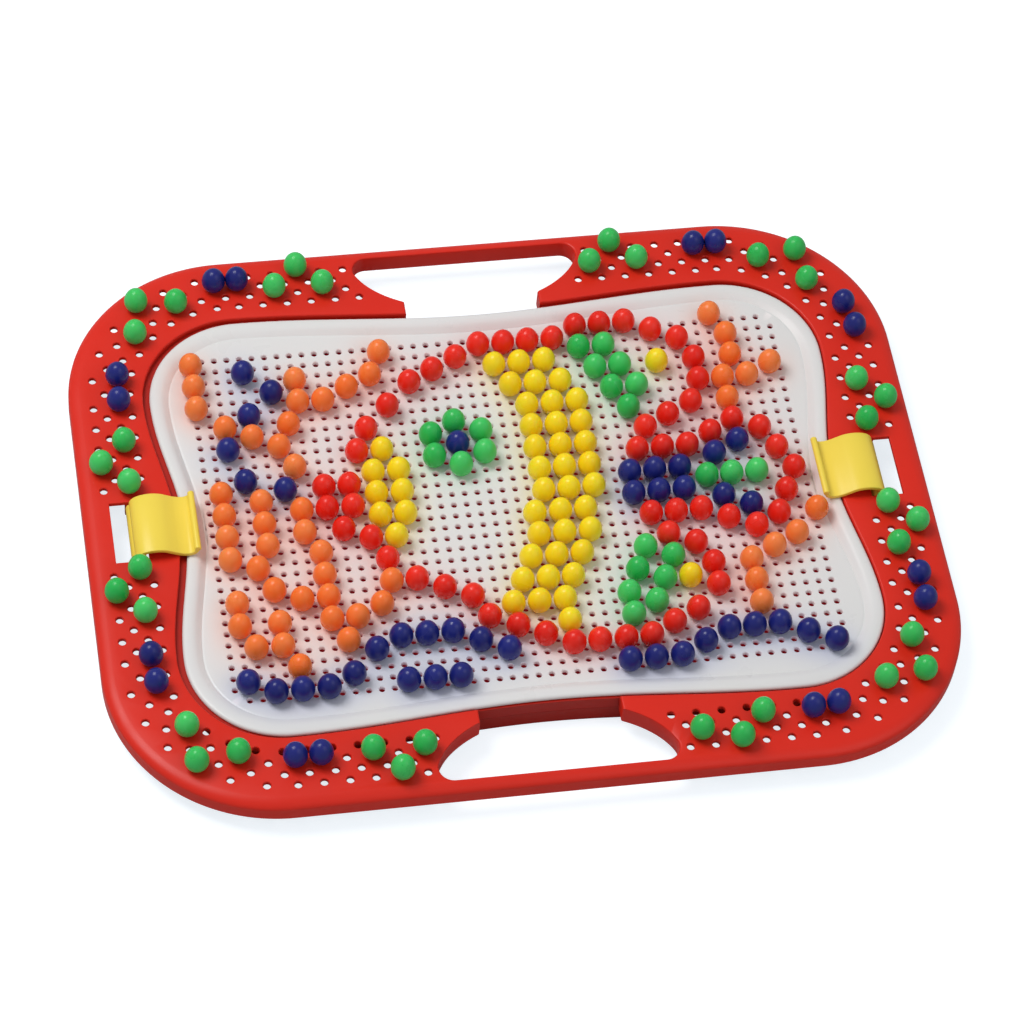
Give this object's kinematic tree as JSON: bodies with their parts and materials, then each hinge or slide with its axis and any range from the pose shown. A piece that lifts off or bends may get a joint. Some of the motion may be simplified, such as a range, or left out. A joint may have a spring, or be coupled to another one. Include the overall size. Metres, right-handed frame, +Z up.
{
  "type": "peg mosaic case",
  "caption": "Portable peg mosaic board: perforated frame with two handles, storage basin, clipped white peg board, hinged clips and round-headed pegs.",
  "frame": {"origin": "middle of the footprint, on the surface that the storage basin stands on", "axes": "+X along the case's length, towards the right-hand clip; +Y from the near handle to the far handle; +Z up"},
  "size_m": [0.344, 0.27, 0.0294],
  "materials": {
    "red_plastic": "satin moulded polypropylene",
    "white_plastic": "satin, slightly translucent",
    "yellow_plastic": "satin",
    "green_peg": "glossy, slightly translucent",
    "blue_peg": "glossy",
    "orange_peg": "glossy, slightly translucent",
    "red_peg": "glossy",
    "yellow_peg": "glossy, slightly translucent"
  },
  "bodies": {
    "frame": {"frame": "red_plastic", "storage_basin": "red_plastic"},
    "board": {"peg_board": "white_plastic"},
    "clip_left": {"clip_left": "yellow_plastic"},
    "clip_right": {"clip_right": "yellow_plastic"},
    "border_peg_green_01": {"border_peg_green_01": "green_peg"},
    "border_peg_green_02": {"border_peg_green_02": "green_peg"},
    "border_peg_green_03": {"border_peg_green_03": "green_peg"},
    "border_peg_green_04": {"border_peg_green_04": "green_peg"},
    "border_peg_green_05": {"border_peg_green_05": "green_peg"},
    "border_peg_green_06": {"border_peg_green_06": "green_peg"},
    "border_peg_green_07": {"border_peg_green_07": "green_peg"},
    "border_peg_green_08": {"border_peg_green_08": "green_peg"},
    "border_peg_green_09": {"border_peg_green_09": "green_peg"},
    "border_peg_blue_01": {"border_peg_blue_01": "blue_peg"},
    "border_peg_blue_02": {"border_peg_blue_02": "blue_peg"},
    "border_peg_blue_03": {"border_peg_blue_03": "blue_peg"},
    "border_peg_blue_04": {"border_peg_blue_04": "blue_peg"},
    "border_peg_green_10": {"border_peg_green_10": "green_peg"},
    "border_peg_green_11": {"border_peg_green_11": "green_peg"},
    "border_peg_green_12": {"border_peg_green_12": "green_peg"},
    "border_peg_green_13": {"border_peg_green_13": "green_peg"},
    "border_peg_green_14": {"border_peg_green_14": "green_peg"},
    "border_peg_green_15": {"border_peg_green_15": "green_peg"},
    "border_peg_green_16": {"border_peg_green_16": "green_peg"},
    "border_peg_green_17": {"border_peg_green_17": "green_peg"},
    "border_peg_green_18": {"border_peg_green_18": "green_peg"},
    "border_peg_blue_05": {"border_peg_blue_05": "blue_peg"},
    "border_peg_blue_06": {"border_peg_blue_06": "blue_peg"},
    "border_peg_blue_07": {"border_peg_blue_07": "blue_peg"},
    "border_peg_blue_08": {"border_peg_blue_08": "blue_peg"},
    "border_peg_green_19": {"border_peg_green_19": "green_peg"},
    "border_peg_green_20": {"border_peg_green_20": "green_peg"},
    "border_peg_green_21": {"border_peg_green_21": "green_peg"},
    "border_peg_green_22": {"border_peg_green_22": "green_peg"},
    "border_peg_green_23": {"border_peg_green_23": "green_peg"},
    "border_peg_green_24": {"border_peg_green_24": "green_peg"},
    "border_peg_green_25": {"border_peg_green_25": "green_peg"},
    "border_peg_green_26": {"border_peg_green_26": "green_peg"},
    "border_peg_green_27": {"border_peg_green_27": "green_peg"},
    "border_peg_blue_09": {"border_peg_blue_09": "blue_peg"},
    "border_peg_blue_10": {"border_peg_blue_10": "blue_peg"},
    "border_peg_blue_11": {"border_peg_blue_11": "blue_peg"},
    "border_peg_blue_12": {"border_peg_blue_12": "blue_peg"},
    "border_peg_green_28": {"border_peg_green_28": "green_peg"},
    "border_peg_green_29": {"border_peg_green_29": "green_peg"},
    "border_peg_green_30": {"border_peg_green_30": "green_peg"},
    "border_peg_green_31": {"border_peg_green_31": "green_peg"},
    "border_peg_green_32": {"border_peg_green_32": "green_peg"},
    "border_peg_green_33": {"border_peg_green_33": "green_peg"},
    "border_peg_green_34": {"border_peg_green_34": "green_peg"},
    "border_peg_green_35": {"border_peg_green_35": "green_peg"},
    "border_peg_green_36": {"border_peg_green_36": "green_peg"},
    "border_peg_blue_13": {"border_peg_blue_13": "blue_peg"},
    "border_peg_blue_14": {"border_peg_blue_14": "blue_peg"},
    "border_peg_blue_15": {"border_peg_blue_15": "blue_peg"},
    "border_peg_blue_16": {"border_peg_blue_16": "blue_peg"}
  },
  "joints": [
    {"name": "board_lift", "type": "slide", "parent": "frame", "child": "board", "axis": [0, 0, 1], "range_m": [0, 0.03]},
    {"name": "clip_left_hinge", "type": "hinge", "parent": "frame", "child": "clip_left", "pos_m": [-0.1514, 0, 0.0142], "axis": [0, -1, 0], "range_deg": [0, 95]},
    {"name": "clip_right_hinge", "type": "hinge", "parent": "frame", "child": "clip_right", "pos_m": [0.1514, 0, 0.0142], "axis": [0, 1, 0], "range_deg": [0, 95]},
    {"name": "peg_green_01_pull", "type": "slide", "parent": "frame", "child": "border_peg_green_01", "axis": [0, 0, 1], "range_m": [0, 0.015]},
    {"name": "peg_green_02_pull", "type": "slide", "parent": "frame", "child": "border_peg_green_02", "axis": [0, 0, 1], "range_m": [0, 0.015]},
    {"name": "peg_green_03_pull", "type": "slide", "parent": "frame", "child": "border_peg_green_03", "axis": [0, 0, 1], "range_m": [0, 0.015]},
    {"name": "peg_green_04_pull", "type": "slide", "parent": "frame", "child": "border_peg_green_04", "axis": [0, 0, 1], "range_m": [0, 0.015]},
    {"name": "peg_green_05_pull", "type": "slide", "parent": "frame", "child": "border_peg_green_05", "axis": [0, 0, 1], "range_m": [0, 0.015]},
    {"name": "peg_green_06_pull", "type": "slide", "parent": "frame", "child": "border_peg_green_06", "axis": [0, 0, 1], "range_m": [0, 0.015]},
    {"name": "peg_green_07_pull", "type": "slide", "parent": "frame", "child": "border_peg_green_07", "axis": [0, 0, 1], "range_m": [0, 0.015]},
    {"name": "peg_green_08_pull", "type": "slide", "parent": "frame", "child": "border_peg_green_08", "axis": [0, 0, 1], "range_m": [0, 0.015]},
    {"name": "peg_green_09_pull", "type": "slide", "parent": "frame", "child": "border_peg_green_09", "axis": [0, 0, 1], "range_m": [0, 0.015]},
    {"name": "peg_blue_01_pull", "type": "slide", "parent": "frame", "child": "border_peg_blue_01", "axis": [0, 0, 1], "range_m": [0, 0.015]},
    {"name": "peg_blue_02_pull", "type": "slide", "parent": "frame", "child": "border_peg_blue_02", "axis": [0, 0, 1], "range_m": [0, 0.015]},
    {"name": "peg_blue_03_pull", "type": "slide", "parent": "frame", "child": "border_peg_blue_03", "axis": [0, 0, 1], "range_m": [0, 0.015]},
    {"name": "peg_blue_04_pull", "type": "slide", "parent": "frame", "child": "border_peg_blue_04", "axis": [0, 0, 1], "range_m": [0, 0.015]},
    {"name": "peg_green_10_pull", "type": "slide", "parent": "frame", "child": "border_peg_green_10", "axis": [0, 0, 1], "range_m": [0, 0.015]},
    {"name": "peg_green_11_pull", "type": "slide", "parent": "frame", "child": "border_peg_green_11", "axis": [0, 0, 1], "range_m": [0, 0.015]},
    {"name": "peg_green_12_pull", "type": "slide", "parent": "frame", "child": "border_peg_green_12", "axis": [0, 0, 1], "range_m": [0, 0.015]},
    {"name": "peg_green_13_pull", "type": "slide", "parent": "frame", "child": "border_peg_green_13", "axis": [0, 0, 1], "range_m": [0, 0.015]},
    {"name": "peg_green_14_pull", "type": "slide", "parent": "frame", "child": "border_peg_green_14", "axis": [0, 0, 1], "range_m": [0, 0.015]},
    {"name": "peg_green_15_pull", "type": "slide", "parent": "frame", "child": "border_peg_green_15", "axis": [0, 0, 1], "range_m": [0, 0.015]},
    {"name": "peg_green_16_pull", "type": "slide", "parent": "frame", "child": "border_peg_green_16", "axis": [0, 0, 1], "range_m": [0, 0.015]},
    {"name": "peg_green_17_pull", "type": "slide", "parent": "frame", "child": "border_peg_green_17", "axis": [0, 0, 1], "range_m": [0, 0.015]},
    {"name": "peg_green_18_pull", "type": "slide", "parent": "frame", "child": "border_peg_green_18", "axis": [0, 0, 1], "range_m": [0, 0.015]},
    {"name": "peg_blue_05_pull", "type": "slide", "parent": "frame", "child": "border_peg_blue_05", "axis": [0, 0, 1], "range_m": [0, 0.015]},
    {"name": "peg_blue_06_pull", "type": "slide", "parent": "frame", "child": "border_peg_blue_06", "axis": [0, 0, 1], "range_m": [0, 0.015]},
    {"name": "peg_blue_07_pull", "type": "slide", "parent": "frame", "child": "border_peg_blue_07", "axis": [0, 0, 1], "range_m": [0, 0.015]},
    {"name": "peg_blue_08_pull", "type": "slide", "parent": "frame", "child": "border_peg_blue_08", "axis": [0, 0, 1], "range_m": [0, 0.015]},
    {"name": "peg_green_19_pull", "type": "slide", "parent": "frame", "child": "border_peg_green_19", "axis": [0, 0, 1], "range_m": [0, 0.015]},
    {"name": "peg_green_20_pull", "type": "slide", "parent": "frame", "child": "border_peg_green_20", "axis": [0, 0, 1], "range_m": [0, 0.015]},
    {"name": "peg_green_21_pull", "type": "slide", "parent": "frame", "child": "border_peg_green_21", "axis": [0, 0, 1], "range_m": [0, 0.015]},
    {"name": "peg_green_22_pull", "type": "slide", "parent": "frame", "child": "border_peg_green_22", "axis": [0, 0, 1], "range_m": [0, 0.015]},
    {"name": "peg_green_23_pull", "type": "slide", "parent": "frame", "child": "border_peg_green_23", "axis": [0, 0, 1], "range_m": [0, 0.015]},
    {"name": "peg_green_24_pull", "type": "slide", "parent": "frame", "child": "border_peg_green_24", "axis": [0, 0, 1], "range_m": [0, 0.015]},
    {"name": "peg_green_25_pull", "type": "slide", "parent": "frame", "child": "border_peg_green_25", "axis": [0, 0, 1], "range_m": [0, 0.015]},
    {"name": "peg_green_26_pull", "type": "slide", "parent": "frame", "child": "border_peg_green_26", "axis": [0, 0, 1], "range_m": [0, 0.015]},
    {"name": "peg_green_27_pull", "type": "slide", "parent": "frame", "child": "border_peg_green_27", "axis": [0, 0, 1], "range_m": [0, 0.015]},
    {"name": "peg_blue_09_pull", "type": "slide", "parent": "frame", "child": "border_peg_blue_09", "axis": [0, 0, 1], "range_m": [0, 0.015]},
    {"name": "peg_blue_10_pull", "type": "slide", "parent": "frame", "child": "border_peg_blue_10", "axis": [0, 0, 1], "range_m": [0, 0.015]},
    {"name": "peg_blue_11_pull", "type": "slide", "parent": "frame", "child": "border_peg_blue_11", "axis": [0, 0, 1], "range_m": [0, 0.015]},
    {"name": "peg_blue_12_pull", "type": "slide", "parent": "frame", "child": "border_peg_blue_12", "axis": [0, 0, 1], "range_m": [0, 0.015]},
    {"name": "peg_green_28_pull", "type": "slide", "parent": "frame", "child": "border_peg_green_28", "axis": [0, 0, 1], "range_m": [0, 0.015]},
    {"name": "peg_green_29_pull", "type": "slide", "parent": "frame", "child": "border_peg_green_29", "axis": [0, 0, 1], "range_m": [0, 0.015]},
    {"name": "peg_green_30_pull", "type": "slide", "parent": "frame", "child": "border_peg_green_30", "axis": [0, 0, 1], "range_m": [0, 0.015]},
    {"name": "peg_green_31_pull", "type": "slide", "parent": "frame", "child": "border_peg_green_31", "axis": [0, 0, 1], "range_m": [0, 0.015]},
    {"name": "peg_green_32_pull", "type": "slide", "parent": "frame", "child": "border_peg_green_32", "axis": [0, 0, 1], "range_m": [0, 0.015]},
    {"name": "peg_green_33_pull", "type": "slide", "parent": "frame", "child": "border_peg_green_33", "axis": [0, 0, 1], "range_m": [0, 0.015]},
    {"name": "peg_green_34_pull", "type": "slide", "parent": "frame", "child": "border_peg_green_34", "axis": [0, 0, 1], "range_m": [0, 0.015]},
    {"name": "peg_green_35_pull", "type": "slide", "parent": "frame", "child": "border_peg_green_35", "axis": [0, 0, 1], "range_m": [0, 0.015]},
    {"name": "peg_green_36_pull", "type": "slide", "parent": "frame", "child": "border_peg_green_36", "axis": [0, 0, 1], "range_m": [0, 0.015]},
    {"name": "peg_blue_13_pull", "type": "slide", "parent": "frame", "child": "border_peg_blue_13", "axis": [0, 0, 1], "range_m": [0, 0.015]},
    {"name": "peg_blue_14_pull", "type": "slide", "parent": "frame", "child": "border_peg_blue_14", "axis": [0, 0, 1], "range_m": [0, 0.015]},
    {"name": "peg_blue_15_pull", "type": "slide", "parent": "frame", "child": "border_peg_blue_15", "axis": [0, 0, 1], "range_m": [0, 0.015]},
    {"name": "peg_blue_16_pull", "type": "slide", "parent": "frame", "child": "border_peg_blue_16", "axis": [0, 0, 1], "range_m": [0, 0.015]}
  ],
  "couplings": [
    {"joint": "clip_left_hinge", "follows": "board_lift", "rad_per_m": 55.263},
    {"joint": "clip_right_hinge", "follows": "board_lift", "rad_per_m": 55.263},
    {"joint": "peg_green_02_pull", "follows": "peg_green_01_pull", "ratio": 1},
    {"joint": "peg_green_03_pull", "follows": "peg_green_01_pull", "ratio": 1},
    {"joint": "peg_green_04_pull", "follows": "peg_green_01_pull", "ratio": 1},
    {"joint": "peg_green_05_pull", "follows": "peg_green_01_pull", "ratio": 1},
    {"joint": "peg_green_06_pull", "follows": "peg_green_01_pull", "ratio": 1},
    {"joint": "peg_green_07_pull", "follows": "peg_green_01_pull", "ratio": 1},
    {"joint": "peg_green_08_pull", "follows": "peg_green_01_pull", "ratio": 1},
    {"joint": "peg_green_09_pull", "follows": "peg_green_01_pull", "ratio": 1},
    {"joint": "peg_blue_02_pull", "follows": "peg_blue_01_pull", "ratio": 1},
    {"joint": "peg_blue_03_pull", "follows": "peg_blue_01_pull", "ratio": 1},
    {"joint": "peg_blue_04_pull", "follows": "peg_blue_01_pull", "ratio": 1},
    {"joint": "peg_green_10_pull", "follows": "peg_green_01_pull", "ratio": 1},
    {"joint": "peg_green_11_pull", "follows": "peg_green_01_pull", "ratio": 1},
    {"joint": "peg_green_12_pull", "follows": "peg_green_01_pull", "ratio": 1},
    {"joint": "peg_green_13_pull", "follows": "peg_green_01_pull", "ratio": 1},
    {"joint": "peg_green_14_pull", "follows": "peg_green_01_pull", "ratio": 1},
    {"joint": "peg_green_15_pull", "follows": "peg_green_01_pull", "ratio": 1},
    {"joint": "peg_green_16_pull", "follows": "peg_green_01_pull", "ratio": 1},
    {"joint": "peg_green_17_pull", "follows": "peg_green_01_pull", "ratio": 1},
    {"joint": "peg_green_18_pull", "follows": "peg_green_01_pull", "ratio": 1},
    {"joint": "peg_blue_05_pull", "follows": "peg_blue_01_pull", "ratio": 1},
    {"joint": "peg_blue_06_pull", "follows": "peg_blue_01_pull", "ratio": 1},
    {"joint": "peg_blue_07_pull", "follows": "peg_blue_01_pull", "ratio": 1},
    {"joint": "peg_blue_08_pull", "follows": "peg_blue_01_pull", "ratio": 1},
    {"joint": "peg_green_19_pull", "follows": "peg_green_01_pull", "ratio": 1},
    {"joint": "peg_green_20_pull", "follows": "peg_green_01_pull", "ratio": 1},
    {"joint": "peg_green_21_pull", "follows": "peg_green_01_pull", "ratio": 1},
    {"joint": "peg_green_22_pull", "follows": "peg_green_01_pull", "ratio": 1},
    {"joint": "peg_green_23_pull", "follows": "peg_green_01_pull", "ratio": 1},
    {"joint": "peg_green_24_pull", "follows": "peg_green_01_pull", "ratio": 1},
    {"joint": "peg_green_25_pull", "follows": "peg_green_01_pull", "ratio": 1},
    {"joint": "peg_green_26_pull", "follows": "peg_green_01_pull", "ratio": 1},
    {"joint": "peg_green_27_pull", "follows": "peg_green_01_pull", "ratio": 1},
    {"joint": "peg_blue_09_pull", "follows": "peg_blue_01_pull", "ratio": 1},
    {"joint": "peg_blue_10_pull", "follows": "peg_blue_01_pull", "ratio": 1},
    {"joint": "peg_blue_11_pull", "follows": "peg_blue_01_pull", "ratio": 1},
    {"joint": "peg_blue_12_pull", "follows": "peg_blue_01_pull", "ratio": 1},
    {"joint": "peg_green_28_pull", "follows": "peg_green_01_pull", "ratio": 1},
    {"joint": "peg_green_29_pull", "follows": "peg_green_01_pull", "ratio": 1},
    {"joint": "peg_green_30_pull", "follows": "peg_green_01_pull", "ratio": 1},
    {"joint": "peg_green_31_pull", "follows": "peg_green_01_pull", "ratio": 1},
    {"joint": "peg_green_32_pull", "follows": "peg_green_01_pull", "ratio": 1},
    {"joint": "peg_green_33_pull", "follows": "peg_green_01_pull", "ratio": 1},
    {"joint": "peg_green_34_pull", "follows": "peg_green_01_pull", "ratio": 1},
    {"joint": "peg_green_35_pull", "follows": "peg_green_01_pull", "ratio": 1},
    {"joint": "peg_green_36_pull", "follows": "peg_green_01_pull", "ratio": 1},
    {"joint": "peg_blue_13_pull", "follows": "peg_blue_01_pull", "ratio": 1},
    {"joint": "peg_blue_14_pull", "follows": "peg_blue_01_pull", "ratio": 1},
    {"joint": "peg_blue_15_pull", "follows": "peg_blue_01_pull", "ratio": 1},
    {"joint": "peg_blue_16_pull", "follows": "peg_blue_01_pull", "ratio": 1}
  ]
}
